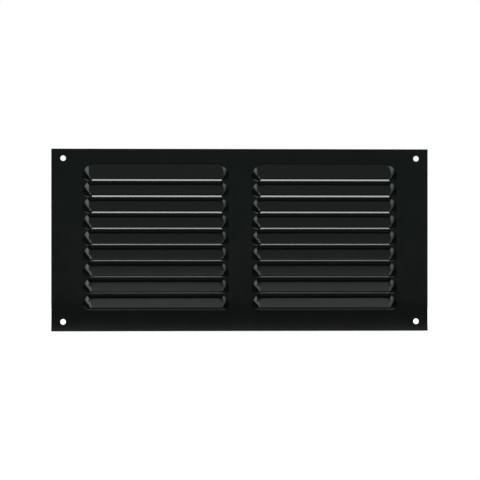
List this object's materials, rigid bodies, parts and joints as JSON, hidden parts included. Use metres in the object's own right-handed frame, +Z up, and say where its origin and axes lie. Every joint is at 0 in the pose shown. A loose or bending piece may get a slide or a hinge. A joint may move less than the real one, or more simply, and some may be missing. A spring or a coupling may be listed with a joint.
{
  "type": "louvred ventilation grille",
  "caption": "Flat rectangular wall grille pressed from one black-coated sheet, with side-by-side columns of downward-opening louvres and a screw hole in each corner.",
  "frame": {"origin": "middle of the back face, on the wall", "axes": "+X along the width to the right as seen from the front, +Y into the wall, +Z up; the louvres stand out towards -Y and open downwards"},
  "size_m": [0.24, 0.0054, 0.115],
  "materials": {
    "black_coat": "semi-gloss black coating all over an aluminium sheet"
  },
  "bodies": {
    "root": {"grille_plate": "black_coat"}
  },
  "joints": []
}
